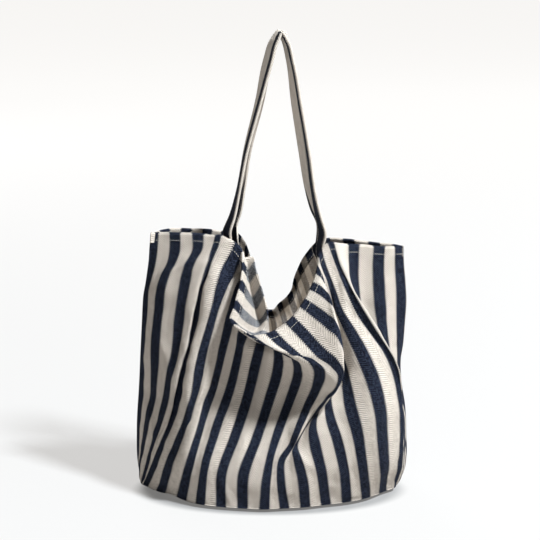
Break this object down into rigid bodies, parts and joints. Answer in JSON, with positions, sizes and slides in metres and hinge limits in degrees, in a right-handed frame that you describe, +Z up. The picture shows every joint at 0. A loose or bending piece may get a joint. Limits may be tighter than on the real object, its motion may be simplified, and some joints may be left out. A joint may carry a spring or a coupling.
{
  "type": "tote bag",
  "caption": "Open-topped striped canvas tote bag with a slumped mouth, a soft oval base and two narrow shoulder straps drawn up to one point.",
  "frame": {"origin": "on the floor below the middle of the bag", "axes": "+Z up, +X to the viewer's right when facing the front, -Y out of the front of the bag"},
  "size_m": [0.3866, 0.1904, 0.6504],
  "materials": {
    "striped_canvas": "matt herringbone weave, navy and cream stripes",
    "hem_canvas": "the same cloth, turned in",
    "strap_canvas": "the same cloth, folded with a cream and a navy face",
    "sewing_thread": "matt sewing thread"
  },
  "bodies": {
    "bag": {"front_panel": "striped_canvas", "back_panel": "striped_canvas", "base_panel": "striped_canvas", "front_hem": "hem_canvas", "back_hem": "hem_canvas", "base_seam_allowance": "hem_canvas", "left_side_seam_allowance": "hem_canvas", "right_side_seam_allowance": "hem_canvas", "front_hem_stitches": "sewing_thread", "back_hem_stitches": "sewing_thread", "front_left_strap_end": "strap_canvas", "front_left_strap_end_stitches": "sewing_thread", "front_right_strap_end": "strap_canvas", "front_right_strap_end_stitches": "sewing_thread", "back_left_strap_end": "strap_canvas", "back_left_strap_end_stitches": "sewing_thread", "back_right_strap_end": "strap_canvas", "back_right_strap_end_stitches": "sewing_thread"},
    "front_handle": {"front_strap": "strap_canvas", "front_strap_inner_stitches": "sewing_thread", "front_strap_outer_stitches": "sewing_thread"},
    "back_handle": {"back_strap": "strap_canvas", "back_strap_inner_stitches": "sewing_thread", "back_strap_outer_stitches": "sewing_thread"}
  },
  "joints": [
    {"name": "front_handle_swing", "type": "hinge", "parent": "bag", "child": "front_handle", "pos_m": [0, -0.03, 0.373], "axis": [1, 0, 0], "range_deg": [0, 145]},
    {"name": "back_handle_swing", "type": "hinge", "parent": "bag", "child": "back_handle", "pos_m": [0, 0.03, 0.373], "axis": [-1, 0, 0], "range_deg": [0, 145]}
  ]
}
